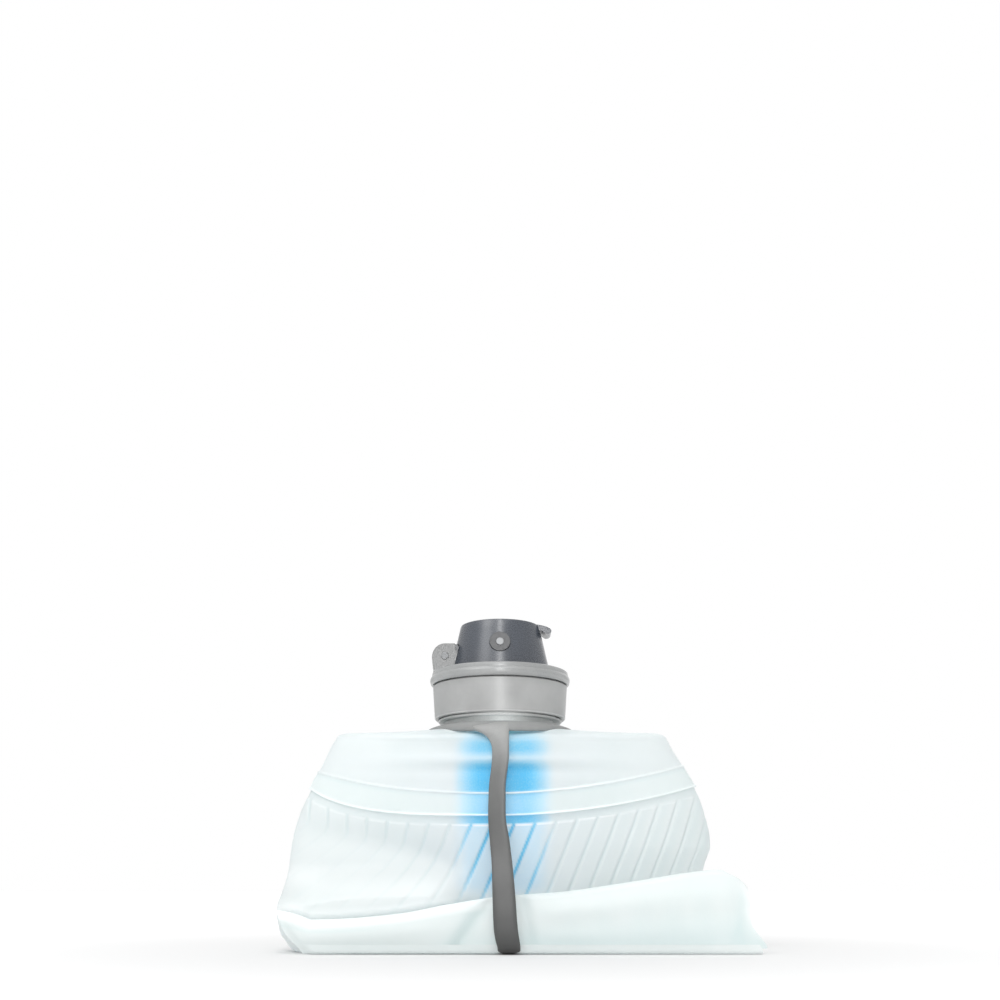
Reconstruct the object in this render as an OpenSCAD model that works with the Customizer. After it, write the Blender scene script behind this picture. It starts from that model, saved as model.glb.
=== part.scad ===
/* [Neck] */
// Radius of the wide mouth's bore (a 42 mm opening)
mouth_r = 21; // [20.5:0.1:21.2]
// Outer radius of the neck tube under the thread
neck_r = 22.8; // [22.6:0.1:23]
// Height of the shoulder film's top face above the table
bag_top = 86; // [85.5:0.1:86]
// Rise of the screw thread for one turn
thread_pitch = 4; // [4:0.5:4]
// Turns of thread on the neck
thread_turns = 1.75; // [1.5:0.25:1.75]

/* [Bag] */
// Thickness of the film as modelled
film = 1.0; // [0.8:0.1:1.1]
// Width of the welded band where the shoulder overlaps the wall
weld_band = 7; // [6:0.5:8]
// Number of points round each cross-section of the bag
ring_n = 56; // [40:4:64]
// Height of the folded tail's crease at the middle of the bag
fold_h = 20.9; // [19.5:0.1:21.5]
// Slope of the folded tail's crease, rise over run
fold_slope = 0.11; // [0.09:0.01:0.12]
// Thickness of each folded layer of the tail
layer_t = 2.6; // [2.2:0.1:2.8]

/* [Bail] */
// Width of the strap under the bag
strap_w = 9; // [8:0.5:9]
// Thickness of the strap
strap_t = 2.1; // [1.8:0.1:2.2]
// Outer radius of the ring round the neck
bail_r = 29.4; // [29:0.1:29.6]

/* [Cap] */
// Radius of the collar at its lower edge
collar_low_r = 26.9; // [26.7:0.1:27.2]
// Radius of the collar at its upper edge
collar_top_r = 27.8; // [27.6:0.1:28]
// Largest radius of the rim over the collar
rim_r = 29; // [28.9:0.1:29.2]
// Radius of the drinking nozzle's bore
nozzle_bore_r = 3.5; // [3:0.1:3.8]

/* [Lid] */
// Radius of the lid at its foot
lid_foot_r = 20.7; // [20.4:0.1:20.8]
// Radius of the lid at its top
lid_top_r = 16.4; // [16:0.1:16.5]
// Wall thickness of the lid
lid_wall = 1.8; // [1.6:0.1:2]
// Radius of the hinge ears
ear_r = 5.2; // [5:0.1:5.3]
// Radius of the hinge pin
pin_r = 1.5; // [1.3:0.1:1.6]
// Radius of the round badge on the lid's front
badge_r = 4.2; // [3.6:0.1:4.4]

/* [Filter] */
// Outer radius of the filter's cage
cage_r = 18.6; // [18:0.1:19]
// Height of the filter's lower end above the table
filter_low = 23; // [21:0.5:26]
// Number of hollow-fibre loops shown in the bundle
loops_per_row = 5; // [4:1:5]
// Radius of each fibre strand
strand_r = 0.8; // [0.6:0.05:0.8]

/* [Hidden] */
$fn = 96;

grey_light = [0.68, 0.70, 0.70];
grey_mid = [0.52, 0.52, 0.52];
grey_dark = [0.27, 0.29, 0.32];
film_white = [0.90, 0.95, 0.96, 0.6];
blue = [0.25, 0.68, 0.95];

lip_z = 103.9;            // top of the neck
axis_x = -22.7;           // lid hinge axis
axis_z = 117.1;
bail_z = 88.4;            // bail swing axis height
fold_y = -36.4;           // first fold axis, just over the table
fold_z = 2;
crease_y = -33.4;         // second fold axis
collar_z0 = 91.3;
collar_z1 = 105.2;
deck_z = 109.2;
lid_z0 = 111.3;
lid_z1 = 130.9;

// ---------- helpers ----------
function sgn(v) = v < 0 ? -1 : 1;
// one cross-section of the bag: lens-shaped, with its own half-width each side and half-depth front and back
function lens(z, al, ar, bf, bb, inset, n) = [for (i = [0:n - 1]) let (t = 360 * i / n, c = cos(t), s = sin(t),
    e = 1.22,
    a = (c < 0 ? al : ar) - inset, b = (s < 0 ? bf : bb) - inset)
    [a * c, b * sgn(s) * pow(abs(s), e), z]];
function ring_pts(z, r, n) = [for (i = [0:n - 1]) let (t = 360 * i / n) [r * cos(t), r * sin(t), z]];
function flat1(l) = [for (a = l) for (b = a) b];
// faces of a tube of rings, joined one to the next
function skin(m, n) = [for (k = [0:m - 2]) for (i = [0:n - 1]) each [
    [k * n + i, k * n + (i + 1) % n, (k + 1) * n + i],
    [k * n + (i + 1) % n, (k + 1) * n + (i + 1) % n, (k + 1) * n + i]]];
function last_to_first(m, n) = [for (i = [0:n - 1]) each [
    [(m - 1) * n + i, (m - 1) * n + (i + 1) % n, i],
    [(m - 1) * n + (i + 1) % n, (i + 1) % n, i]]];

// a screw thread ridge on a cylinder: trapezoid section, root radius r0, crest radius r1
module thread_ridge(r0, r1, root_w, crest_w, pitch, turns, z0, start = 0) {
    steps = floor(turns * 24);
    sect = function (k) let (a = start + k * 15, z = z0 + pitch * k / 24,
        f = min(1, min(k, steps - k) / 3 + 0.02), rc = r0 + (r1 - r0) * f)
        [[r0 * cos(a), r0 * sin(a), z - root_w / 2], [rc * cos(a), rc * sin(a), z - crest_w / 2],
         [rc * cos(a), rc * sin(a), z + crest_w / 2], [r0 * cos(a), r0 * sin(a), z + root_w / 2]];
    pts = flat1([for (k = [0:steps]) sect(k)]);
    sides = [for (k = [0:steps - 1]) for (j = [0:3]) each [
        [k * 4 + (j + 1) % 4, (k + 1) * 4 + j, k * 4 + j],
        [k * 4 + (j + 1) % 4, (k + 1) * 4 + (j + 1) % 4, (k + 1) * 4 + j]]];
    e = steps * 4;
    polyhedron(points = pts, faces = concat(sides, [[2, 1, 0], [3, 2, 0], [e, e + 1, e + 2], [e, e + 2, e + 3]]));
}

module ring(r_in, r_out, z0, z1) {
    translate([0, 0, z0]) difference() {
        cylinder(r = r_out, h = z1 - z0);
        translate([0, 0, -1]) cylinder(r = r_in, h = z1 - z0 + 2);
    }
}

// ---------- rigid neck ----------
module neck() {
    color(grey_mid) {
        rotate_extrude() polygon([[mouth_r, bag_top - 4], [24.4, bag_top - 4], [24.4, bag_top], [27, bag_top], [27, bag_top + 0.9],
            [26.6, bag_top + 1.2], [neck_r, bag_top + 1.2], [neck_r, 90], [25.1, 90], [25.5, 90.4], [25.3, 91], [neck_r, 91.9],
            [neck_r, lip_z - 0.5], [neck_r - 0.5, lip_z], [mouth_r + 0.4, lip_z], [mouth_r, lip_z - 0.4]]);
        thread_ridge(neck_r - 0.25, 24.2, 2.0, 0.9, thread_pitch, thread_turns, 94.4);
    }
}

// ---------- bag ----------
// height, half-width left, half-width right, half-depth front, half-depth back
shoulder_table = [[64.5, 78.0, 80.2, 29.0, 28.6], [68, 76.8, 78.8, 29.2, 28.8], [74, 73.5, 72.6, 29.0, 28.6],
    [80, 70.2, 70.2, 28.8, 28.4], [84, 67.4, 67.6, 28.2, 28.0], [bag_top, 63.5, 63.5, 26.8, 26.8]];
module shoulder_film() {
    n = ring_n;
    m = len(shoulder_table);
    outer = [for (r = shoulder_table) lens(r[0], r[1], r[2], r[3], r[4], 0, n)];
    inner = [for (k = [m - 1:-1:0]) let (r = shoulder_table[k]) lens(k == m - 1 ? r[0] - film : r[0], r[1], r[2], r[3], r[4], film, n)];
    rings = concat(outer, [ring_pts(bag_top, 24.6, n)], [ring_pts(bag_top - film, 24.6, n)], inner);
    color(film_white) polyhedron(points = flat1(rings), faces = [for (f = concat(skin(len(rings), n), last_to_first(len(rings), n))) [f[2], f[1], f[0]]]);
}

wall_table = [[0, 81.4, 86, 33.0, 18], [3.2, 84, 87, 33.0, 20.5], [4.6, 85, 87, 22.5, 21.5], [9, 86.8, 86.6, 22.6, 23], [15.6, 87.6, 85.4, 23.4, 24.5],
    [22, 87, 83.8, 24.4, 25.6], [31, 85.8, 83, 26, 26.6], [43.7, 84.6, 85.4, 27.6, 27.6], [55, 81.0, 83.2, 28.2, 28.2], [64.5, 76.9, 79.1, 27.9, 27.5], [70.5, 74.1, 74.2, 27.8, 27.4]];
module wall_film() {
    n = ring_n;
    m = len(wall_table);
    outer = [for (r = wall_table) lens(r[0], r[1], r[2], r[3], r[4], 0, n)];
    inner = [for (k = [m - 1:-1:3]) let (r = wall_table[k]) lens(r[0], r[1], r[2], r[3], r[4], film, n)];
    low = wall_table[2];
    floor_in = [lens(low[0], low[1], low[2], low[3], low[4], 3, n)];
    rings = concat(outer, inner, floor_in);
    p = len(rings);
    color(film_white) difference() {
        polyhedron(points = concat(flat1(rings), [[0, 0, 0], [0, 0, low[0]]]),
            faces = concat([for (f = skin(p, n)) [f[2], f[1], f[0]]],
                [for (i = [0:n - 1]) [i, (i + 1) % n, p * n]],
                [for (i = [0:n - 1]) [(p - 1) * n + (i + 1) % n, (p - 1) * n + i, p * n + 1]]));
        // groove that the strap presses into the underside
        translate([-4.6, -50, -1]) cube([strap_w + 2.2, 100, 1 + strap_t + 0.5]);
        translate([-4.6, 12, -1]) cube([strap_w + 2.2, 30, 5.4]);
    }
}

// top edge of the folded tail
function fold_top(x) = fold_h + fold_slope * x;
module tail_front_panel() {
    color(film_white) difference() {
        union() {
            translate([0, fold_y + layer_t, 0]) rotate([90, 0, 0]) linear_extrude(height = layer_t)
                polygon([[-73.4, 1.2], [94, 1.2], [94.5, 8], [92.6, 20], [91, 25], [88, fold_top(88) - 3], [84, fold_top(84) - 1.4], [-78, fold_top(-78) - 1.4], [-83.4, fold_top(-83.4) - 2.2], [-79.4, 6]]);
            // rounded fold at the foot
            translate([-73, fold_y, fold_z]) rotate([0, 90, 0]) cylinder(r = 1.3, h = 166);
        }
        // room for the strap under the fold
        translate([-4.6, -50, -1]) cube([strap_w + 2.2, 30, 4.7]);
    }
}
module tail_rear_panel() {
    color(film_white) {
        translate([0, crease_y + 0.2 + layer_t, 0]) rotate([90, 0, 0]) linear_extrude(height = layer_t)
            polygon([[-76, 7.6], [95, 7.6], [95.5, 10], [93, 20], [89, 25], [83, fold_top(83) - 0.5], [-70, fold_top(-70) - 0.5], [-78, fold_top(-78) - 3]]);
        // rounded crease at the top
        translate([-69, crease_y - 0.1, fold_top(-69)]) rotate([0, 90 - atan(fold_slope), 0]) cylinder(r = 0.9, h = 151);
    }
}
module tail_weld() {
    color(film_white) translate([0, crease_y + 0.2 + layer_t - 0.9, 0]) rotate([90, 0, 0]) linear_extrude(height = 0.8)
        polygon([[-72, 4.3], [91, 4.3], [92, 7.55], [-72, 7.55]]);
}

// ---------- bail ----------
module bail_ring() {
    color(grey_mid) {
        rotate_extrude() polygon([[23.4, 87.5], [bail_r - 0.4, 87.5], [bail_r, 88], [bail_r - 0.2, 88.5], [25.2, 89.8], [23.4, 89.8]]);
        for (k = [0, 1]) rotate([0, 0, 180 * k]) {
            translate([-4.2, -30.6, 87.5]) cube([8.4, 4.6, 1.3]);
            translate([0, -30.2, bail_z - 0.2]) rotate([90, 0, 0]) cylinder(r = 2.1, h = 0.5);
        }
    }
}
// strap line: depth, height, from the front root under the bag to the back root
strap_line = [[-32.0, 86.4], [-31.4, 80], [-31.2, 72], [-31.0, 60], [-31.4, 48], [-33.0, 38], [-35.8, 30], [-38.0, 24], [-38.2, 14], [-38.1, 7], [-37.9, 3.6], [-35.6, 1.3], [-29, 1.05],
    [10, 1.05], [18.5, 1.3], [22.3, 3.6], [24.7, 9], [26.9, 18], [28.6, 30], [29.8, 44], [30.8, 58], [31.2, 70], [31.4, 80], [32.0, 86.4]];
function unit(v) = v / norm(v);
function turn(v) = [-v[1], v[0]];
function side(l, d) = [for (i = [0:len(l) - 1]) let (a = l[max(i - 1, 0)], b = l[min(i + 1, len(l) - 1)]) l[i] + d * turn(unit(b - a))];
module bail_strap() {
    color(grey_mid) {
        translate([-3.6, 0, 0]) rotate([90, 0, 90]) linear_extrude(height = strap_w)
            polygon(concat(side(strap_line, strap_t / 2), [for (i = [len(strap_line) - 1:-1:0]) side(strap_line, -strap_t / 2)[i]]));
        for (k = [0, 1]) rotate([0, 0, 180 * k]) difference() {
            union() {
                translate([0, -30.85, bail_z - 0.2]) rotate([90, 0, 0]) cylinder(r = 3.4, h = 2.1);
                translate([k == 0 ? -3.6 : -5.4, -32.95, 84.5]) cube([strap_w, 2.1, 3.2]);
            }
            translate([0, -29, bail_z - 0.2]) rotate([90, 0, 0]) cylinder(r = 1.2, h = 6);
        }
    }
}

// ---------- cap ----------
module collar() {
    color(grey_light) {
        rotate_extrude() polygon([[25.0, collar_z0 + 0.5], [25.4, collar_z0], [collar_low_r - 0.4, collar_z0], [collar_low_r, collar_z0 + 0.4], [collar_top_r, collar_z1 - 0.4],
            [collar_top_r - 0.4, collar_z1], [26.1, collar_z1], [26.1, 107.5], [26.7, 107.8], [26.7, 108.2], [26.1, 108.7], [24.2, 108.7], [24.2, 106.2],
            [19.2, 106.2], [19.2, 104.9], [25.0, 104.9]]);
        // inner thread, in mesh half a pitch above the neck's
        inner_thread();
    }
}
module inner_thread() {
    steps = 30;
    sect = function (k) let (a = 40 + k * 15, z = 94.4 + thread_pitch * (k + 40 / 15) / 24 + thread_pitch / 2,
        f = min(1, min(k, steps - k) / 3 + 0.02), rc = 25.6 - 2.3 * f)
        [[25.6 * cos(a), 25.6 * sin(a), z + 1.05], [rc * cos(a), rc * sin(a), z + 0.45],
         [rc * cos(a), rc * sin(a), z - 0.45], [25.6 * cos(a), 25.6 * sin(a), z - 1.05]];
    pts = flat1([for (k = [0:steps]) sect(k)]);
    sides = [for (k = [0:steps - 1]) for (j = [0:3]) each [
        [k * 4 + (j + 1) % 4, (k + 1) * 4 + j, k * 4 + j],
        [k * 4 + (j + 1) % 4, (k + 1) * 4 + (j + 1) % 4, (k + 1) * 4 + j]]];
    e = steps * 4;
    polyhedron(points = pts, faces = concat(sides, [[2, 1, 0], [3, 2, 0], [e, e + 1, e + 2], [e, e + 2, e + 3]]));
}
module cap_gasket() {
    color([0.85, 0.87, 0.88]) ring(21.4, 24.3, lip_z + 0.05, 104.85);
}
module cap_deck() {
    color(grey_light) difference() {
        union() {
            rotate_extrude() polygon([[11.2, deck_z], [17, deck_z], [17, 96.2], [18.8, 96.2], [18.8, deck_z], [26.4, deck_z], [26.4, 108.7], [27.0, 108.4], [27.0, 107.5], [26.4, 107.2], [26.4, 105.7],
                [28.2, 105.5], [28.7, 106], [rim_r, 107.1], [rim_r, 107.9], [28.6, 108.8], [28.25, 109.1], [28.3, 109.6], [28.1, 110.6], [27.5, 111], [11.2, 111]]);
            // low coaming that the lid closes round
            ring(15.2, 16.2, 110.5, 112.3);
            for (s = [-1, 1]) translate([0, s * 6.25 + 1.35, 0]) rotate([90, 0, 0]) linear_extrude(height = 2.7) union() {
                translate([axis_x, axis_z]) circle(r = ear_r);
                polygon([[-27.4, 110.5], [-20.5, 110.5], [-20.5, axis_z], [-27.9, axis_z], [-27.9, 115]]);
                polygon([[axis_x, axis_z - 4.4], [-19, axis_z - 4.4], [-18.4, axis_z - 3], [-18.3, axis_z + 4.6], [-18.7, axis_z + 5.2], [axis_x, axis_z + 5.2]]);
            }
        }
        translate([axis_x, 20, axis_z]) rotate([90, 0, 0]) cylinder(r = pin_r, h = 40);
    }
}
module drink_nozzle() {
    color(grey_light) rotate_extrude() polygon([[nozzle_bore_r, 106.6], [13.2, 106.6], [13.2, 108.9], [11.0, 109.0], [11.0, 112.2], [8.4, 113.2], [7.4, 120], [7.0, 126.2], [6.2, 127.0], [nozzle_bore_r + 0.5, 127.0], [nozzle_bore_r, 126.4]]);
}
module nozzle_seal_ring() {
    color([0.85, 0.87, 0.88]) ring(11.2, 12.9, 109.02, 109.18);
}
module hinge_pin() {
    color([0.75, 0.76, 0.78]) translate([axis_x, 7.9, axis_z]) rotate([90, 0, 0]) cylinder(r = pin_r, h = 15.8);
}

// ---------- lid ----------
module lid() {
    color(grey_dark) difference() {
        union() {
            rotate_extrude() polygon([[0, lid_z0], [lid_foot_r - 0.3, lid_z0], [lid_foot_r, lid_z0 + 0.3], [lid_top_r + 0.2, lid_z1 - 0.8], [lid_top_r - 0.05, lid_z1 - 0.25], [lid_top_r - 0.6, lid_z1], [0, lid_z1]]);
            // hinge knuckle
            translate([0, 4.6, 0]) rotate([90, 0, 0]) linear_extrude(height = 9.2) union() {
                translate([axis_x, axis_z]) circle(r = ear_r + 0.3);
                polygon([[axis_x, axis_z - 5.2], [-17.6, axis_z - 5.2], [-16.6, axis_z + 5.5], [axis_x, axis_z + 5.5]]);
            }
            // thumb tab
            translate([0, 5.2, 0]) rotate([90, 0, 0]) linear_extrude(height = 10.4) polygon([[13.5, 128.2], [17.3, 128.2], [18.2, 127.4], [19.3, 126.8], [20.5, 127], [21.3, 127.7], [21.4, 128.4], [20.8, 129.2], [19.2, 130], [17.4, 130.5], [15.6, 130.8], [13.5, 130.8]]);
        }
        rotate_extrude() polygon([[0, lid_z0 - 1], [lid_foot_r - lid_wall, lid_z0 - 1], [lid_foot_r - lid_wall, lid_z0], [lid_top_r - lid_wall + 0.3, lid_z1 - 1.9], [0, lid_z1 - 1.9]]);
        // slots for the ears
        for (s = [-1, 1]) translate([axis_x, s * 6.25 + 1.65, axis_z]) rotate([90, 0, 0]) cylinder(r = ear_r + 2.2, h = 3.3);
        translate([axis_x, 20, axis_z]) rotate([90, 0, 0]) cylinder(r = pin_r + 0.05, h = 40);
        // pocket for the badge
        badge_place() translate([0, 0, -1.0]) cylinder(r = badge_r + 0.05, h = 4);
    }
}
module badge_place() {
    translate([0, -18.62, 120.8]) rotate([77.5, 0, 0]) children();
}
module lid_badge() {
    color([0.15, 0.16, 0.18]) badge_place() translate([0, 0, -0.95]) difference() {
        cylinder(r = badge_r, h = 1.25);
        translate([0, 0, 0.5]) cylinder(r = 1.6, h = 2);
    }
}
module badge_stud() {
    color([0.7, 0.71, 0.72]) badge_place() translate([0, 0, -0.45]) cylinder(r = 1.55, h = 0.95);
}
module lid_seal() {
    color([0.85, 0.87, 0.88]) ring(nozzle_bore_r + 0.2, 7.0, 127.15, lid_z1 - 1.95);
}

// ---------- filter ----------
module filter_hub() {
    color(blue) difference() {
        union() {
            translate([0, 0, 92]) cylinder(r = 20.4, h = 2.6);
            translate([0, 0, 94.5]) cylinder(r = 16.7, h = 9.5);
        }
        translate([0, 0, 91]) cylinder(r = 14.2, h = 15);
        // groove for the o-ring
        translate([0, 0, 98.4]) difference() {
            cylinder(r = 18, h = 2);
            translate([0, 0, -1]) cylinder(r = 15.3, h = 4);
        }
    }
}
module hub_o_ring() {
    color([0.2, 0.2, 0.22]) translate([0, 0, 99.4]) rotate_extrude() translate([16.15, 0]) circle(r = 0.8, $fn = 32);
}
module filter_potting() {
    color([0.92, 0.95, 0.98]) translate([0, 0, 86.4]) cylinder(r = 16.9, h = 5.55);
}
// rows of upside-down loops, each a strand that leaves the potting, turns at the bottom and comes back
function loop_rows() = [for (r = [-2:2]) r * 5.2];
module hollow_fibres() {
    color([0.55, 0.82, 0.97]) for (y0 = loop_rows()) let (half = sqrt(15.2 * 15.2 - y0 * y0))
        for (k = [0:loops_per_row - 1]) let (reach = half * (k + 1) / loops_per_row, gap = 15.2 / loops_per_row)
            if (reach > 1.6) loop(y0, reach, filter_low + 6 + 15.2 - reach);
}
module loop(y0, reach, low) {
    top = 86.4;
    translate([0, y0, 0]) {
        for (s = [-1, 1]) translate([s * reach, 0, low + reach]) cylinder(r = strand_r, h = top - low - reach, $fn = 16);
        translate([0, 0, low + reach]) rotate([90, 0, 0]) rotate([0, 0, 180]) rotate_extrude(angle = 180) translate([reach, 0]) circle(r = strand_r, $fn = 16);
    }
}
module filter_cage() {
    color(blue) difference() {
        translate([0, 0, filter_low + 2]) cylinder(r = cage_r, h = 92 - filter_low - 2);
        translate([0, 0, filter_low + 1]) cylinder(r = 17, h = 100);
        for (k = [0:7]) rotate([0, 0, 45 * k + 22.5]) for (z = [0:2]) translate([12, -5.2, filter_low + 6 + z * 19.5]) cube([10, 10.4, 16.5]);
    }
}
module filter_end_cap() {
    color(blue) difference() {
        translate([0, 0, filter_low]) cylinder(r = cage_r, h = 2);
        for (k = [0:5]) rotate([0, 0, 60 * k]) translate([9.5, 0, filter_low - 1]) cylinder(r = 2.4, h = 4);
    }
}

neck();
shoulder_film();
wall_film();
tail_front_panel();
tail_rear_panel();
tail_weld();
bail_ring();
bail_strap();
collar();
cap_gasket();
cap_deck();
drink_nozzle();
nozzle_seal_ring();
hinge_pin();
lid();
lid_seal();
lid_badge();
badge_stud();
filter_hub();
hub_o_ring();
filter_potting();
hollow_fibres();
filter_cage();
filter_end_cap();
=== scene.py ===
import math
import bpy
import bmesh
import numpy as np
from mathutils import Vector, Matrix


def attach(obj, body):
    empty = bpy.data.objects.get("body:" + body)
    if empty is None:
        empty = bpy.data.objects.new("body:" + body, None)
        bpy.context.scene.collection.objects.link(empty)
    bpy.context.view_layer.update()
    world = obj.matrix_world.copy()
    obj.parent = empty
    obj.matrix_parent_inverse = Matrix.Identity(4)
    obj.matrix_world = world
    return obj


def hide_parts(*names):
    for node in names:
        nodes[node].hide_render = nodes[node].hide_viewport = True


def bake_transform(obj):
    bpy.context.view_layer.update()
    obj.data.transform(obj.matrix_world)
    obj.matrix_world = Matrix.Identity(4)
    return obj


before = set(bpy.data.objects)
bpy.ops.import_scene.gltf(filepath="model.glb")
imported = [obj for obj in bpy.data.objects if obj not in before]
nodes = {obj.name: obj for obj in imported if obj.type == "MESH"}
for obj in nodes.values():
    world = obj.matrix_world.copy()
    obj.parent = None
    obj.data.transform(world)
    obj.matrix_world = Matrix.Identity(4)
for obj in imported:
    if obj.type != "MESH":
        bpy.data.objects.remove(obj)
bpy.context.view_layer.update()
MM = 0.001
rng = np.random.RandomState(7)

# ------------------------------------------------------------------ stage, camera, lights
scene = bpy.context.scene
scene.view_settings.view_transform = "Standard"
scene.view_settings.look = "None"

cam_data = bpy.data.cameras.new("camera")
cam = bpy.data.objects.new("camera", cam_data)
scene.collection.objects.link(cam)
cam_data.sensor_width = 36.0
cam_data.lens = 42.05
cam_data.shift_y = 0.12
cam_data.clip_start = 0.01
cam_data.clip_end = 50
cam.location = (0, -0.480, 0.024)
cam.rotation_euler = (math.radians(90 + 12.9), 0, 0)
scene.camera = cam

world = bpy.data.worlds.new("world")
scene.world = world
world.use_nodes = True
wn = world.node_tree
bg = wn.nodes["Background"]
bg.inputs["Color"].default_value = (1, 1, 1, 1)
bg.inputs["Strength"].default_value = 0.75
# the empty background itself shows plain white
bg2 = wn.nodes.new("ShaderNodeBackground")
bg2.inputs["Color"].default_value = (1, 1, 1, 1)
bg2.inputs["Strength"].default_value = 1.0
lp = wn.nodes.new("ShaderNodeLightPath")
wm = wn.nodes.new("ShaderNodeMixShader")
wn.links.new(lp.outputs["Is Camera Ray"], wm.inputs[0])
wn.links.new(bg.outputs[0], wm.inputs[1])
wn.links.new(bg2.outputs[0], wm.inputs[2])
wn.links.new(wm.outputs[0], wn.nodes["World Output"].inputs[0])


def area(name, loc, target, size, power, color=(1, 1, 1), size_y=None):
    d = bpy.data.lights.new(name, "AREA")
    d.energy = power
    d.color = color
    d.shape = "RECTANGLE" if size_y else "SQUARE"
    d.size = size
    if size_y:
        d.size_y = size_y
    o = bpy.data.objects.new(name, d)
    scene.collection.objects.link(o)
    o.location = loc
    o.rotation_euler = (Vector(target) - Vector(loc)).to_track_quat("-Z", "Y").to_euler()
    return o


area("key", (-0.45, -0.50, 0.75), (0, 0, 0.05), 0.35, 0.9)
area("front_strip", (0.0, -0.85, 0.62), (0, 0, 0.10), 0.10, 2.4, size_y=0.95)
# seen in reflections only: the sheen down the collar and rim
low = area("front_low", (0.0, -0.95, 0.13), (0, 0, 0.10), 0.16, 1.0, size_y=0.24)
low.visible_diffuse = False
low.visible_transmission = False
area("back_light", (0.1, 0.80, 0.45), (0, 0, 0.05), 0.8, 0.9)
sd = bpy.data.lights.new("overhead_sun", "SUN")
sd.energy = 0.85
sd.angle = math.radians(70)
so = bpy.data.objects.new("overhead_sun", sd)
scene.collection.objects.link(so)
so.rotation_euler = (math.radians(22), math.radians(-14), 0)


# ------------------------------------------------------------------ material helpers
def mat(name):
    m = bpy.data.materials.new(name)
    m.use_nodes = True
    m.node_tree.nodes.clear()
    return m, m.node_tree.nodes, m.node_tree.links


def node(ns, kind, **kw):
    n = ns.new(kind)
    for k, v in kw.items():
        if k in n.inputs:
            n.inputs[k].default_value = v
        else:
            setattr(n, k, v)
    return n


def ramp(ns, stops):
    r = ns.new("ShaderNodeValToRGB")
    e = r.color_ramp.elements
    e[0].position, e[0].color = stops[0]
    e[1].position, e[1].color = stops[-1]
    for p, c in stops[1:-1]:
        x = e.new(p)
        x.color = c
    return r


def srgb(r, g, b):
    f = lambda v: v / 12.92 if v <= 0.04045 else ((v + 0.055) / 1.055) ** 2.4
    return (f(r / 255), f(g / 255), f(b / 255), 1)


def plastic(name, base, rough, grain=0.35, scale=2600, bump=0.05, spec=0.5, coat=0.0, edge=None, sheen=0.0, metal=0.0):
    """Moulded plastic or rubber: fine grain in the bump and the roughness, a slow drift of colour, and a lighter colour
    on sharp edges when edge is given.
    """
    m, ns, L = mat(name)
    out = ns.new("ShaderNodeOutputMaterial")
    p = ns.new("ShaderNodeBsdfPrincipled")
    L.new(p.outputs[0], out.inputs[0])
    tc = ns.new("ShaderNodeTexCoord")
    n1 = node(ns, "ShaderNodeTexNoise", Scale=scale, Detail=3.0, Roughness=0.6)
    n2 = node(ns, "ShaderNodeTexNoise", Scale=55.0, Detail=4.0, Roughness=0.55)
    L.new(tc.outputs["Object"], n1.inputs["Vector"])
    L.new(tc.outputs["Object"], n2.inputs["Vector"])
    d = [max(0, c * (1 - 0.10)) for c in base[:3]] + [1]
    b = [min(1, c * (1 + 0.08)) for c in base[:3]] + [1]
    r = ramp(ns, [(0.35, tuple(d)), (0.65, tuple(b))])
    L.new(n2.outputs["Fac"], r.inputs["Fac"])
    mixg = node(ns, "ShaderNodeMixRGB", blend_type="MULTIPLY")
    mixg.inputs["Fac"].default_value = grain * 0.35
    L.new(r.outputs[0], mixg.inputs["Color1"])
    L.new(n1.outputs["Fac"], mixg.inputs["Color2"])
    col = mixg.outputs[0]
    if edge:
        geo = ns.new("ShaderNodeNewGeometry")
        er = ramp(ns, [(0.50, (0, 0, 0, 1)), (0.56, (1, 1, 1, 1))])
        L.new(geo.outputs["Pointiness"], er.inputs["Fac"])
        em = node(ns, "ShaderNodeMixRGB")
        L.new(er.outputs[0], em.inputs["Fac"])
        L.new(col, em.inputs["Color1"])
        em.inputs["Color2"].default_value = edge
        col = em.outputs[0]
    L.new(col, p.inputs["Base Color"])
    rr = node(ns, "ShaderNodeMapRange")
    rr.inputs["To Min"].default_value = rough - 0.06
    rr.inputs["To Max"].default_value = rough + 0.06
    L.new(n1.outputs["Fac"], rr.inputs["Value"])
    L.new(rr.outputs[0], p.inputs["Roughness"])
    p.inputs["Specular IOR Level"].default_value = spec
    p.inputs["Metallic"].default_value = metal
    if coat:
        p.inputs["Coat Weight"].default_value = coat
        p.inputs["Coat Roughness"].default_value = 0.25
    if sheen:
        p.inputs["Sheen Weight"].default_value = sheen
    bp = ns.new("ShaderNodeBump")
    bp.inputs["Strength"].default_value = bump * 4
    bp.inputs["Distance"].default_value = 0.00006
    L.new(n1.outputs["Fac"], bp.inputs["Height"])
    bv = ns.new("ShaderNodeBevel")
    bv.samples = 4
    bv.inputs["Radius"].default_value = 0.0003
    L.new(bv.outputs[0], bp.inputs["Normal"])
    L.new(bp.outputs[0], p.inputs["Normal"])
    return m


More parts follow.
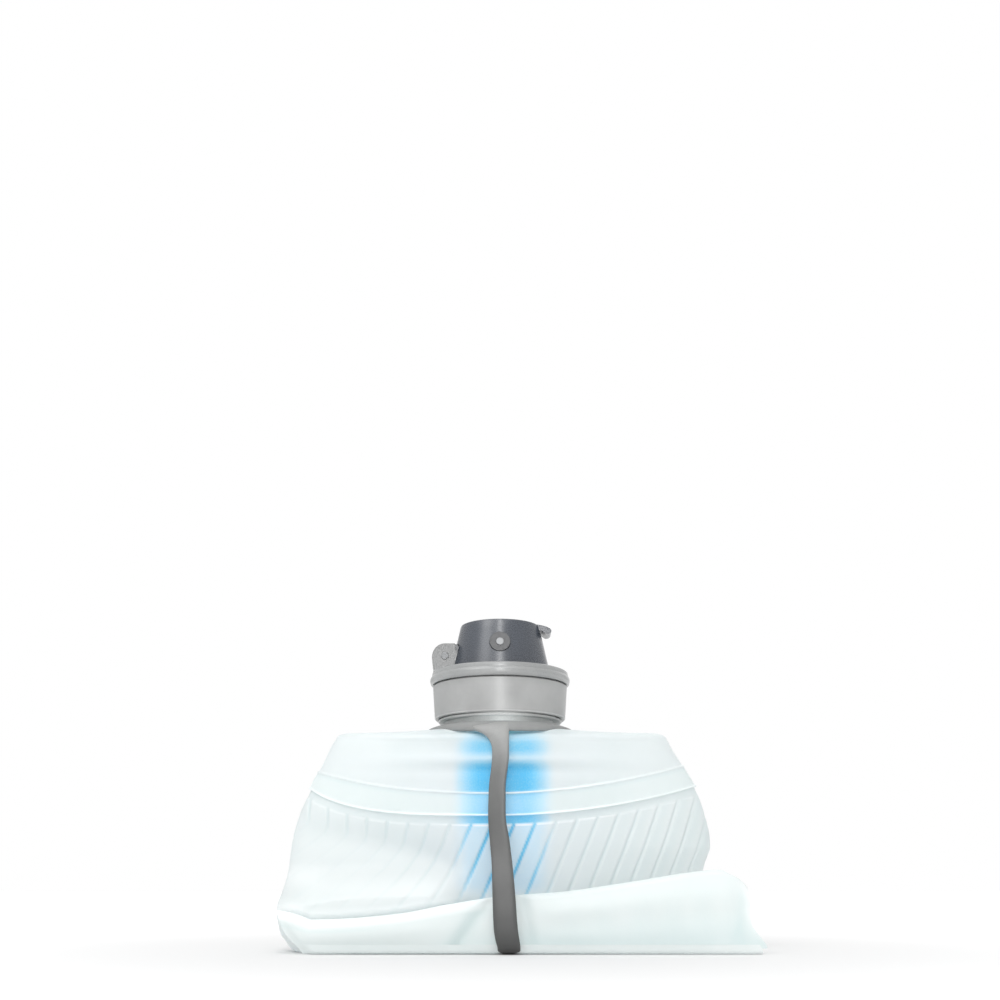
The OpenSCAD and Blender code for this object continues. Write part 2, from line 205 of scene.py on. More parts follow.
def by_height(m, z0, z1, stops):
    """Multiplies a plastic's colour by a ramp over the height z0 to z1 (metres)."""
    ns, L = m.node_tree.nodes, m.node_tree.links
    p = [n for n in ns if n.type == "BSDF_PRINCIPLED"][0]
    src = p.inputs["Base Color"].links[0].from_socket
    tc = ns.new("ShaderNodeTexCoord")
    sp = ns.new("ShaderNodeSeparateXYZ")
    L.new(tc.outputs["Object"], sp.inputs[0])
    mr = node(ns, "ShaderNodeMapRange")
    mr.inputs["From Min"].default_value = z0
    mr.inputs["From Max"].default_value = z1
    L.new(sp.outputs["Z"], mr.inputs["Value"])
    r = ramp(ns, [((z - z0) / (z1 - z0), (v, v, v * w, 1)) for z, v, w in stops])
    L.new(mr.outputs[0], r.inputs["Fac"])
    mix = node(ns, "ShaderNodeMixRGB", blend_type="MULTIPLY")
    mix.inputs["Fac"].default_value = 1.0
    L.new(src, mix.inputs["Color1"])
    L.new(r.outputs[0], mix.inputs["Color2"])
    L.new(mix.outputs[0], p.inputs["Base Color"])
    return m


def film_material(name, clear=0.08):
    """Frosted film: pale, lets light through. Its colour carries painted light: a blue glow painted where the filter
    stands close behind it, painted white highlights that also glow along the welds, rib tops and folds, and painted
    shade in the grooves and creases.
    """
    m, ns, L = mat(name)
    out = ns.new("ShaderNodeOutputMaterial")
    tc = ns.new("ShaderNodeTexCoord")
    glow = node(ns, "ShaderNodeAttribute", attribute_name="glow")
    painted_light = node(ns, "ShaderNodeAttribute", attribute_name="painted_light")
    groove = node(ns, "ShaderNodeAttribute", attribute_name="groove")
    n1 = node(ns, "ShaderNodeTexNoise", Scale=1500.0, Detail=2.0, Roughness=0.7)
    n2 = node(ns, "ShaderNodeTexNoise", Scale=30.0, Detail=5.0, Roughness=0.6)
    L.new(tc.outputs["Object"], n1.inputs["Vector"])
    L.new(tc.outputs["Object"], n2.inputs["Vector"])
    white = ramp(ns, [(0.3, (0.855, 0.905, 0.898, 1)), (0.7, (0.900, 0.935, 0.930, 1))])
    L.new(n2.outputs["Fac"], white.inputs["Fac"])
    # painted shade: greyer film in the grooves between the ribs, in creases and on the tail
    gr = node(ns, "ShaderNodeMixRGB", blend_type="MULTIPLY")
    gr.inputs["Color2"].default_value = (0.86, 0.925, 0.93, 1)
    L.new(groove.outputs["Fac"], gr.inputs["Fac"])
    L.new(white.outputs[0], gr.inputs["Color1"])
    # grain breaks up the tint the way frosting does
    ga = node(ns, "ShaderNodeMath", operation="SUBTRACT")
    ga.inputs[1].default_value = 0.5
    L.new(n1.outputs["Fac"], ga.inputs[0])
    gb = node(ns, "ShaderNodeMath", operation="MULTIPLY")
    gb.inputs[1].default_value = 0.55
    L.new(ga.outputs[0], gb.inputs[0])
    gc = node(ns, "ShaderNodeMath", operation="ADD")
    gc.inputs[0].default_value = 1.0
    L.new(gb.outputs[0], gc.inputs[1])
    tint = node(ns, "ShaderNodeMath", operation="MULTIPLY", use_clamp=True)
    L.new(glow.outputs["Fac"], tint.inputs[0])
    L.new(gc.outputs[0], tint.inputs[1])
    blue = ramp(ns, [(0.0, srgb(232, 246, 251)), (0.25, srgb(212, 241, 253)), (0.5, srgb(176, 231, 255)), (0.75, srgb(138, 221, 255)), (1.0, srgb(98, 209, 255))])
    L.new(tint.outputs[0], blue.inputs["Fac"])
    bf = node(ns, "ShaderNodeMapRange")
    bf.inputs["From Max"].default_value = 0.22
    L.new(tint.outputs[0], bf.inputs["Value"])
    mb = node(ns, "ShaderNodeMixRGB")
    L.new(bf.outputs[0], mb.inputs["Fac"])
    L.new(gr.outputs[0], mb.inputs["Color1"])
    L.new(blue.outputs[0], mb.inputs["Color2"])
    # painted highlights: whiter film along the welds, rib tops and folds
    ms = node(ns, "ShaderNodeMixRGB")
    ms.inputs["Color2"].default_value = (0.97, 0.99, 0.99, 1)
    L.new(painted_light.outputs["Fac"], ms.inputs["Fac"])
    L.new(mb.outputs[0], ms.inputs["Color1"])
    col = ms.outputs[0]
    p = ns.new("ShaderNodeBsdfPrincipled")
    L.new(col, p.inputs["Base Color"])
    p.inputs["Roughness"].default_value = 0.36
    p.inputs["Specular IOR Level"].default_value = 0.42
    # painted light: the film glows a little everywhere, and more under the painted highlights
    L.new(col, p.inputs["Emission Color"])
    es = node(ns, "ShaderNodeMath", operation="MULTIPLY_ADD")
    es.inputs[1].default_value = 0.20
    es.inputs[2].default_value = 0.05
    L.new(painted_light.outputs["Fac"], es.inputs[0])
    L.new(es.outputs[0], p.inputs["Emission Strength"])
    tr = ns.new("ShaderNodeBsdfTranslucent")
    L.new(col, tr.inputs["Color"])
    mx = ns.new("ShaderNodeMixShader")
    mx.inputs[0].default_value = 0.34
    L.new(p.outputs[0], mx.inputs[1])
    L.new(tr.outputs[0], mx.inputs[2])
    tp = ns.new("ShaderNodeBsdfTransparent")
    mt = ns.new("ShaderNodeMixShader")
    mt.inputs[0].default_value = clear
    L.new(mx.outputs[0], mt.inputs[1])
    L.new(tp.outputs[0], mt.inputs[2])
    L.new(mt.outputs[0], out.inputs[0])
    bp = ns.new("ShaderNodeBump")
    bp.inputs["Strength"].default_value = 0.25
    bp.inputs["Distance"].default_value = 0.00008
    L.new(n1.outputs["Fac"], bp.inputs["Height"])
    L.new(bp.outputs[0], p.inputs["Normal"])
    L.new(bp.outputs[0], tr.inputs["Normal"])
    return m


def neck_material(name):
    """Neck plastic with a thin teal line where the blue of the filter shows through above the carry ring. It glows as
    painted light, brightest near the middle and fading to the sides, the teal line with it.
    """
    m = plastic(name, (0.58, 0.595, 0.59, 1), 0.30, grain=0.8, scale=1500, bump=0.05)
    ns, L = m.node_tree.nodes, m.node_tree.links
    p = [n for n in ns if n.type == "BSDF_PRINCIPLED"][0]
    src = p.inputs["Base Color"].links[0].from_socket
    tc = ns.new("ShaderNodeTexCoord")
    sp = ns.new("ShaderNodeSeparateXYZ")
    L.new(tc.outputs["Object"], sp.inputs[0])
    mr = node(ns, "ShaderNodeMapRange")
    mr.inputs["From Min"].default_value = 0.0872
    mr.inputs["From Max"].default_value = 0.0888
    L.new(sp.outputs["Z"], mr.inputs["Value"])
    r = ramp(ns, [(0.0, (1, 1, 1, 1)), (0.42, (1, 1, 1, 1)), (0.62, (0, 0, 0, 1))])
    L.new(mr.outputs[0], r.inputs["Fac"])
    mix = node(ns, "ShaderNodeMixRGB")
    L.new(r.outputs[0], mix.inputs["Fac"])
    L.new(src, mix.inputs["Color1"])
    mix.inputs["Color2"].default_value = (0.10, 0.42, 0.44, 1)
    L.new(mix.outputs[0], p.inputs["Base Color"])
    L.new(mix.outputs[0], p.inputs["Emission Color"])
    # painted light: emission strongest near x = 0, fading out to the sides
    ab = node(ns, "ShaderNodeMath", operation="ABSOLUTE")
    L.new(sp.outputs["X"], ab.inputs[0])
    mid = node(ns, "ShaderNodeMapRange", interpolation_type="SMOOTHSTEP")
    mid.inputs["From Min"].default_value = 0.001
    mid.inputs["From Max"].default_value = 0.015
    mid.inputs["To Min"].default_value = 0.46
    mid.inputs["To Max"].default_value = 0.03
    L.new(ab.outputs[0], mid.inputs["Value"])
    L.new(mid.outputs[0], p.inputs["Emission Strength"])
    return m


def smooth_cad(o):
    """Smooth shading on a CAD node: its patches' seams shade as one surface, edges over 30 degrees stay sharp. Its vertices stay as they are."""
    me = o.data
    nv, ne, nl = len(me.vertices), len(me.edges), len(me.loops)
    co = np.zeros(nv * 3, np.float32)
    me.vertices.foreach_get("co", co)
    key = np.round(co.reshape(-1, 3) * 1e6).astype(np.int64)
    _, vid = np.unique(key, axis=0, return_inverse=True)
    vid = vid.ravel()
    ev = np.zeros(ne * 2, np.int32)
    me.edges.foreach_get("vertices", ev)
    ek = np.sort(vid[ev.reshape(-1, 2)], axis=1)
    _, eid = np.unique(ek[:, 0] * (vid.max() + 1) + ek[:, 1], return_inverse=True)
    eid = eid.ravel()
    le = np.zeros(nl, np.int32)
    me.loops.foreach_get("edge_index", le)
    tot = np.zeros(len(me.polygons), np.int32)
    me.polygons.foreach_get("loop_total", tot)
    pn = np.zeros(len(me.polygons) * 3, np.float32)
    me.polygons.foreach_get("normal", pn)
    pn = pn.reshape(-1, 3)
    lp = np.repeat(np.arange(len(tot)), tot)
    le_ = eid[le]
    order = np.argsort(le_, kind="stable")
    a, b = le_[order], lp[order]
    same = a[1:] == a[:-1]
    dots = (pn[b[1:]] * pn[b[:-1]]).sum(1)
    sharp_ids = np.zeros(eid.max() + 1, bool)
    sharp_ids[a[1:][same & (dots < math.cos(math.radians(30)))]] = True
    if "custom_normal" in me.attributes:
        me.attributes.remove(me.attributes["custom_normal"])
    me.shade_smooth()
    at = me.attributes.get("sharp_edge") or me.attributes.new("sharp_edge", "BOOLEAN", "EDGE")
    at.data.foreach_set("value", sharp_ids[eid])
    w = o.modifiers.new("join_seams", "WELD")
    w.merge_threshold = 2e-6


M_FILM = film_material("frosted_film")
# strap: painted light, lighter towards the top where it meets the ring, and painted shade, darker towards the table
M_STRAP = by_height(plastic("strap_rubber", (0.36, 0.365, 0.36, 1), 0.42, grain=0.5, scale=2200, bump=0.07, spec=0.55), 0.0, 0.088,
                    [(0.0, 0.21, 1.0), (0.022, 0.25, 1.0), (0.048, 0.365, 1.0), (0.066, 0.49, 1.0), (0.076, 0.74, 1.0), (0.083, 0.93, 1.0)])
M_RING = plastic("ring_rubber", (0.285, 0.292, 0.290, 1), 0.46, grain=0.4, scale=2200, bump=0.06, spec=0.45)
# collar: a painted highlight along its lower lip, and a touch darker at the top
M_COLLAR = by_height(plastic("collar_plastic", (0.55, 0.557, 0.554, 1), 0.37, grain=0.35, scale=2600, bump=0.04, spec=1.0, metal=0.06), 0.0905, 0.1065,
                     [(0.0905, 1.0, 1.0), (0.0917, 1.0, 1.0), (0.0921, 0.62, 1.0), (0.0925, 0.66, 1.0), (0.102, 0.66, 1.0), (0.1065, 0.60, 1.0)])
# rim and deck; the hinge ears standing above it are a darker grey
M_DECK = by_height(plastic("rim_plastic", (0.325, 0.333, 0.333, 1), 0.29, grain=0.35, scale=2600, bump=0.04, spec=0.9, metal=0.04), 0.100, 0.124,
                   [(0.100, 1.0, 1.0), (0.1109, 1.0, 1.0), (0.1116, 0.50, 1.0), (0.124, 0.48, 1.0)])
M_LID = plastic("lid_plastic", (0.047, 0.056, 0.072, 1), 0.275, grain=0.3, scale=2400, bump=0.04, spec=1.0)
M_NECK = neck_material("neck_plastic")
M_NOZZLE = plastic("nozzle_plastic", (0.36, 0.366, 0.364, 1), 0.40, grain=0.35, scale=2600, bump=0.04)
M_SEAL = plastic("seal_rubber", (0.70, 0.73, 0.74, 1), 0.5)
M_DARK = plastic("o_ring_rubber", (0.03, 0.03, 0.035, 1), 0.45)
M_BADGE = plastic("badge_dark", (0.018, 0.020, 0.024, 1), 0.30, grain=0.3, coat=0.3)
M_STUD = plastic("badge_stud_grey", (0.36, 0.37, 0.38, 1), 0.35, grain=0.2)
M_PIN = plastic("pin_grey", (0.19, 0.195, 0.20, 1), 0.30, grain=0.2, metal=0.3)
M_BLUE = plastic("filter_blue", (0.04, 0.40, 0.85, 1), 0.35, grain=0.2, coat=0.2)
M_POT = plastic("potting_resin", (0.80, 0.88, 0.92, 1), 0.35)
M_FIBRE = plastic("fibre_bundle", (0.55, 0.78, 0.92, 1), 0.55, grain=0.5, scale=4200, bump=0.1)
for n_, m_ in {"neck": M_NECK, "bail_ring": M_RING, "collar": M_COLLAR, "cap_gasket": M_SEAL, "cap_deck": M_DECK, "drink_nozzle": M_NOZZLE,
               "nozzle_seal_ring": M_SEAL, "hinge_pin": M_PIN, "lid": M_LID, "lid_seal": M_SEAL, "lid_badge": M_BADGE, "badge_stud": M_STUD,
               "filter_hub": M_BLUE, "hub_o_ring": M_DARK, "filter_potting": M_POT, "hollow_fibres": M_FIBRE, "filter_cage": M_BLUE, "filter_end_cap": M_BLUE}.items():
    o = nodes[n_]
    smooth_cad(o)
    o.data.materials.clear()
    o.data.materials.append(m_)


# ------------------------------------------------------------------ mesh helpers
def make(name, verts, faces, material, smooth=True, attrs=None):
    me = bpy.data.meshes.new(name)
    v = np.asarray(verts, float) * MM
    me.from_pydata(v.tolist(), [], [list(map(int, f)) for f in faces])
    me.materials.append(material)
    me.polygons.foreach_set("use_smooth", np.full(len(me.polygons), smooth))
    for k, a in (attrs or {}).items():
        at = me.attributes.new(k, "FLOAT", "POINT")
        at.data.foreach_set("value", np.asarray(a, np.float32).ravel())
    me.validate()
    me.update()
    o = bpy.data.objects.new(name, me)
    scene.collection.objects.link(o)
    return o


def grid_faces(rows, cols, wrap=False, base=0):
    f = []
    cc = cols if wrap else cols - 1
    for r in range(rows - 1):
        for c in range(cc):
            a = base + r * cols + c
            b = base + r * cols + (c + 1) % cols
            f.append((a, b, b + cols, a + cols))
    return f


def smooth1(x, lo, hi):
    t = np.clip((x - lo) / (hi - lo), 0, 1)
    return t * t * (3 - 2 * t)


def bump1(x, c, w):
    return np.exp(-((x - c) / w) ** 2)


def curve(points, x, soft=0.0):
    """A smooth line through points (x, value): monotone cubic between them."""
    px = np.array([p[0] for p in points], float)
    py = np.array([p[1] for p in points], float)
    h = np.diff(px)
    d = np.diff(py) / h
    m = np.zeros(len(px))
    m[0], m[-1] = d[0], d[-1]
    for i in range(1, len(px) - 1):
        if d[i - 1] * d[i] > 0:
            w1, w2 = 2 * h[i] + h[i - 1], h[i] + 2 * h[i - 1]
            m[i] = (w1 + w2) / (w1 / d[i - 1] + w2 / d[i])
    x = np.asarray(x, float)
    k = np.clip(np.searchsorted(px, x, side="right") - 1, 0, len(px) - 2)
    t = np.clip((x - px[k]) / h[k], 0, 1)
    return (py[k] * (1 + 2 * t) * (1 - t) ** 2 + m[k] * h[k] * t * (1 - t) ** 2 + py[k + 1] * t * t * (3 - 2 * t) + m[k + 1] * h[k] * t * t * (t - 1))


# ------------------------------------------------------------------ the bag's outline, in millimetres
# height against half-width left, half-width right, half-depth front, half-depth back
LEFT = [(0, 79.6), (2, 81.7), (4, 83.5), (6, 85.2), (10, 86.6), (15, 87.2), (22, 86.6), (31, 85.4), (43, 84.2), (52, 82.0), (62, 77.8), (66.5, 76.0), (72, 73.0), (79, 69.9), (83.5, 67.4), (86, 64.4)]
RIGHT = [(0, 86), (9, 85), (22, 82.5), (30, 82.0), (33, 82.6), (37, 84.2), (40, 85.2), (44, 85.1), (50, 84.1), (57, 82.2), (63.5, 79.8), (72.5, 74.8), (79.5, 70.6), (83.5, 68.5), (86, 65)]
FRONT = [(0, 33), (3.0, 33), (4.4, 28), (9, 24), (15, 24), (22, 24.6), (31, 26), (44, 27.8), (56, 28.4), (64, 28.2), (72, 28.2), (79, 28.0), (83, 27.6), (86, 26.8)]
BACK = [(0, 20), (3, 22), (9, 24), (15, 25.2), (22, 26.2), (31, 27.0), (44, 27.8), (56, 28.0), (64, 27.8), (72, 27.8), (79, 27.6), (83, 27.4), (86, 26.8)]


def fold_top(x):
    return curve([(-92, 15.4), (-83, 15.8), (-78, 15.0), (-73, 13.6), (-69.8, 12.5), (-59, 12.8), (-37, 14.7), (-20.5, 17.7), (-3.3, 20.4), (7, 21.4), (23, 22.5), (38, 24.5), (57, 27.4), (74.5, 30.0), (80.5, 30.5), (85.7, 29.9), (89.7, 28.0), (91.8, 24.6), (92.4, 22.0), (97, 12)], x)


def upper_weld(c):
    a = np.abs(c)
    return np.where(c < 0, 59.4 + (70.2 - 59.4) * a ** 2.3, 59.4 + (72.6 - 59.4) * a ** 1.7)


def lower_weld(c):
    a = np.abs(c)
    return np.where(c < 0, 51.1 + (63.6 - 51.1) * a ** 3.4, 51.1 + (64.5 - 51.1) * a ** 1.85)


def section(c, s, z, grow=0.0):
    """Plan position on the bag's outline at height z: c and s are the cosine and sine round it. Low on the left the front is boxy, where it runs into the fold."""
    a = np.where(c < 0, curve(LEFT, z), curve(RIGHT, z)) + grow
    b = np.where(s < 0, curve(FRONT, z), curve(BACK, z)) + grow
    q = smooth1(-c, 0.0, 0.5) * (1 - smooth1(z, 15, 33)) * (s < 0)
    b = b + np.clip(29.5 - b, 0, None) * q
    x = a * np.sign(c) * np.abs(c) ** (1 - 0.52 * q)
    y = b * np.sign(s) * np.abs(s) ** (1.22 - 0.80 * q)
    return x, y


def ribs(x, depth):
    """Relief of the slanted ribs: height 0 to 1, at depth below their top line. Also how far each point lies in the dip
    between two ribs.
    """
    right = 0.437 * depth
    d = np.clip(depth - 6, 0, None)
    left = np.where(d < 5, 0.1 * d ** 2, 2.5 + (d - 5) * 1.0)
    w = smooth1(x, -62, -8)
    sft = x + left * (1 - w) + right * w
    ph = (sft / 8.15 + 0.34) % 1.0
    e = np.abs(ph - 0.5) * 8.15          # distance from the middle of a rib, 0 to 4.07
    rib = 1 - smooth1(e, 3.15, 3.65)
    top = smooth1(depth, 0.0, 0.55)
    return rib * top, (1 - rib) * smooth1(depth, -0.5, 0.5), smooth1(-depth, -0.6, 0.0)


def glow_side(x):
    """Sideways spread of the filter's blue, painted into the film as a glow."""
    return 1 - smooth1(np.abs(x - 1.3), 7.5, 21.5)


def glow_up(z):
    """How deep the painted blue glow is at each height of the smooth film above the ribs; its dip near 72.8 mm is a
    painted whiter highlight.
    """
    return curve([(48, 0.84), (50.4, 0.86), (51.4, 0.74), (52.4, 0.52), (56, 0.50), (58.6, 0.62), (60.0, 0.92), (62, 1.0), (68.4, 1.0), (69.8, 0.86), (71.2, 0.56), (72.8, 0.40), (74.4, 0.52), (76.4, 0.74), (78.4, 0.68), (80.4, 0.40), (83, 0.26), (86, 0.18), (90, 0.1)], z)


# ------------------------------------------------------------------ wall film
N = 960
th = np.linspace(0, 2 * math.pi, N, endpoint=False)
c0, s0 = np.cos(th), np.sin(th)
rows = []
R_WALL = 118
tt = np.linspace(0, 1, R_WALL)
C, T = np.meshgrid(c0, tt)
S, _ = np.meshgrid(s0, tt)
Zt = upper_weld(C) - 1.5
Z = Zt * (1 - T) + 0.35 * T
X, Y = section(C, S, Z, -0.5)
front = (S < 0)
edge = np.abs(S) ** 0.8
# broad soft shapes of the front: pinched across the upper left, swelling out over the fold and tucked in behind it
zt_f = fold_top(X)
lefty = smooth1(-X, 3, 30)
pinch_z = curve([(-90, 46), (-60, 43), (-30, 36), (-12, 28), (10, 20), (100, 15)], X)
push = -3.0 * bump1(Z, pinch_z, 6.5) * lefty * edge
push += 10.0 * np.where(Z > zt_f + 2.5, bump1(Z, zt_f + 2.5, 11.0), bump1(Z, zt_f + 2.5, 6.0)) * lefty * np.clip(edge * 1.35, 0, 1)
push += 1.0 * bump1(Z, 36, 9) * bump1(X, 66, 16) * edge
push += 0.5 * np.sin(X / 11.0 + Z / 9.0) * smooth1(-X, 20, 60) * edge * smooth1(Z, 26, 34) * (1 - smooth1(Z, 48, 56))
Y = np.where(front, Y - push, Y + 0.9 * bump1(Z, 30, 12) * np.sin(X / 17.0) * edge)
reach = -30.2 - 4.6 * smooth1(Z, zt_f - 0.4, zt_f + 1.8) * lefty - 3.0 * (1 - smooth1(Z, 3.0, 4.6))
Y = np.where(front & (Z < zt_f + 14), np.maximum(Y, reach), Y)
depth = lower_weld(C) - 3.3 - Z
rib, groove, _t = ribs(X, depth)
fade = np.clip(np.abs(S) * 4.0, 0, 1)
quiet = 1 - 0.78 * smooth1(-X, 24, 54) * smooth1(depth, 3, 11)
amp = (0.42 + 0.20 * smooth1(X, 42, 72)) * smooth1(Z, 3.5, 7) * quiet
nx = C / np.where(C < 0, curve(LEFT, Z), curve(RIGHT, Z))
ny = S / np.where(S < 0, curve(FRONT, Z), curve(BACK, Z))
ln = np.sqrt(nx ** 2 + ny ** 2) + 1e-9
X = X + amp * rib * fade * nx / ln
Y = Y + amp * rib * fade * ny / ln
V = np.stack([X, Y, Z], -1).reshape(-1, 3)
F = grid_faces(R_WALL, N, True)
g_rib = curve([(12, 0.0), (21, 0.14), (27, 0.30), (36, 0.32), (48, 0.38)], Z)
g_grv = curve([(12, 0.0), (21, 0.35), (27, 0.72), (36, 0.84), (48, 0.86)], Z)
above = 1 - smooth1(depth, -0.2, 0.35)
glow = glow_side(X) * np.where(front, 1.0, 0.6) * (above * glow_up(Z) + (1 - above) * (g_rib + (g_grv - g_rib) * groove))
# painted shade: greyer grooves, soft shading of the pleats on the right, and a light grey over the smooth film above
# the ribs
pleat_shade = 0.30 * (0.5 + 0.5 * np.cos((X + 0.437 * depth) / 8.15 * 2 * math.pi)) * smooth1(X, 38, 58) * front
wall_shade = np.clip(np.maximum(groove * 0.48 * quiet * (1 - 0.7 * smooth1(X, 36, 68)) + pleat_shade * (1 - above), above * 0.20), 0, 1)
# painted light: rib faces lighter in the glow, and a painted highlight along the rib tops
lit = 0.42 * glow_side(X) * (1 - above) * (1 - groove) * front
painted_light = lit + 0.85 * rib * bump1(depth, 0.55, 0.30) * (1 - 0.8 * smooth1(-X, 10, 30)) * (1 - 0.8 * smooth1(X, 30, 60))
# underside
prev = (R_WALL - 1) * N
extra, fx = [], []
steps = [0.985, 0.95, 0.8, 0.6, 0.4, 0.2]
bx, by = X[-1], Y[-1]
for k, q in enumerate(steps):
    extra.append(np.stack([bx * (q if q > 0.9 else 0.95 * q / 0.8 * 0.84 + 0.0), by * q, np.full(N, 0.12 if k == 0 else 0.0)], -1))
# straight ribs of quads to a spine keep the underside flat
allr = [V] + [e for e in extra]
V2 = np.concatenate(allr, 0)
F2 = list(F) + grid_faces(len(steps) + 1, N, True, prev)
last = len(V2) - N
V2 = np.concatenate([V2, [[bx.mean(), by.mean(), 0.0]]], 0)
F2 += [(last + i, last + (i + 1) % N, len(V2) - 1) for i in range(N)]
ga = np.concatenate([glow.ravel(), np.zeros(len(V2) - glow.size)])
gr_ = np.concatenate([wall_shade.ravel(), np.zeros(len(V2) - wall_shade.size)])
# painted light over the left fold: lightens the shadow in the gap above the tail's crest, and a painted highlight over
# the swelling above
painted_light = np.maximum(painted_light, 0.60 * lefty * front * bump1(Z, zt_f + 0.6, 2.6))
painted_light = np.maximum(painted_light, 0.35 * lefty * front * bump1(Z, zt_f + 7.0 - 0.10 * (X + 20), 5.0))
se_ = np.concatenate([painted_light.ravel(), np.zeros(len(V2) - painted_light.size)])
wall = make("bag_wall", V2, F2, M_FILM, attrs={"glow": ga, "groove": gr_, "painted_light": se_})
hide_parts("wall_film")
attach(wall, "bag")

# ------------------------------------------------------------------ shoulder film
prof = []
zr = []
C1, S1 = c0, s0


def shoulder_rows():
    out = []
    # from under the ring outwards over the flat top
    edge_z = 86.0 - 3.0 * np.abs(s0) ** 1.3 * np.where(s0 < 0, 1.0, 0.8)
    ex, ey = section(c0, s0, np.full(N, 85.9), -2.2)
    rx, ry = 24.7 * c0, 24.7 * s0
    for q in np.linspace(0, 1, 9):
        x = rx * (1 - q) + ex * q
        y = ry * (1 - q) + ey * q
        z = 86.25 * (1 - q) ** 1.5 + (edge_z) * (1 - (1 - q) ** 1.5)
        out.append((x, y, z))
    # over the rounded edge
    fx_, fy_ = section(c0, s0, edge_z - 2.6, 0.0)
    for a in np.linspace(0.12, 1, 8):
        ang = a * math.pi / 2
        x = ex + (fx_ - ex) * math.sin(ang)
        y = ey + (fy_ - ey) * math.sin(ang)
        z = edge_z - 2.6 * (1 - math.cos(ang))
        out.append((x, y, z))
    z_lo = edge_z - 2.6
    uw = upper_weld(c0)
    for q in np.linspace(0.035, 1, 34):
        z = z_lo * (1 - q) + (uw + 0.5) * q
        x, y = section(c0, s0, z, 0.0)
        out.append((x, y, z))
    for dz, g in [(0.35, 0.30), (0.15, 0.55), (-0.05, 0.66), (-0.3, 0.60), (-0.5, 0.40), (-0.75, 0.26), (-1.0, 0.22)]:
        z = uw + dz
        x, y = section(c0, s0, z, g)
        out.append((x, y, z))
    lw = lower_weld(c0)
    for q in np.linspace(0.1, 1, 12):
        z = (uw - 1.05) * (1 - q) + (lw + 0.65) * q
        x, y = section(c0, s0, z, 0.25)
        out.append((x, y, z))
    for dz, g in [(0.45, 0.30), (0.25, 0.55), (0.02, 0.72), (-0.25, 0.68), (-0.42, 0.4), (-0.45, -0.25)]:
        z = lw + dz
        x, y = section(c0, s0, z, g)
        out.append((x, y, z))
    return out


rr_ = shoulder_rows()
SX = np.array([r[0] for r in rr_]); SY = np.array([r[1] for r in rr_]); SZ = np.array([r[2] for r in rr_])
sF = (np.tile(s0, (len(rr_), 1)) < 0)
e2 = np.abs(np.tile(s0, (len(rr_), 1))) ** 0.8
face_rows = (np.arange(len(rr_)) >= 17)[:, None]
p2 = 0.9 * bump1(SZ, 72.5, 2.4) * bump1(SX, 0, 46) - 0.9 * bump1(SZ, 68.2, 2.0) * bump1(SX, 6, 40)
p2 += 0.5 * np.sin(SX / 13.0 + 1.0) * bump1(SZ, 78, 5)
SY = np.where(sF & face_rows, SY - p2 * e2, SY)
uwc = upper_weld(np.tile(c0, (len(rr_), 1)))
lwc = lower_weld(np.tile(c0, (len(rr_), 1)))
# painted highlights: white lines along both welds, weaker on the left and towards the sides
wl = np.clip(np.maximum(bump1(SZ, uwc - 0.1, 0.36) * (1 - 0.55 * smooth1(-SX, 2, 24)), bump1(SZ, lwc - 0.05, 0.36)), 0, 1) * face_rows * (1 - 0.70 * smooth1(np.abs(SX), 26, 62))
# painted shadow just under the upper weld's step
under_weld_shadow = 0.75 * bump1(SZ, uwc - 1.3, 0.6) * face_rows
glow_s = glow_side(SX) * np.where(sF, 1.0, 0.6) * glow_up(SZ) * (1 - 0.8 * wl)
# painted highlight: a soft white line across the front near 72.8 mm
shine = 0.34 * bump1(SZ, 72.8, 1.2) * bump1(SX, 0, 26) * sF * face_rows
# greyer below the upper weld, with the painted shadow under its step
between = (SZ < uwc) * 0.15 + under_weld_shadow * 0.5
shoulder = make("bag_shoulder", np.stack([SX, SY, SZ], -1).reshape(-1, 3), grid_faces(len(rr_), N, True), M_FILM,
                attrs={"glow": glow_s, "groove": np.clip(between, 0, 1), "painted_light": np.clip(wl + shine, 0, 1)})
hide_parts("shoulder_film")
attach(shoulder, "bag")

# ------------------------------------------------------------------ folded tail
P = 300
pc = np.linspace(0, 1, P)


def left_edge(z):
    return curve([(-1, -72.6), (0.5, -73.0), (2, -74.0), (6.6, -78.6), (9.8, -80.8), (13.4, -82.2), (16, -83.0), (30, -83.4)], z)


def right_edge(z):
    return curve([(-1, 97.0), (0.5, 96.5), (6, 94.3), (12, 92.6), (20, 92.3), (24, 91.6), (27, 89.5), (29.5, 85)], z)


def rear_right(z):
    return curve([(0, 97.5), (2.5, 99.0), (5, 97.5), (9, 94.5), (14, 92.0), (24, 90.0), (29, 85)], z)


sec = []       # rows: (kind, parameter)
rows_t = []


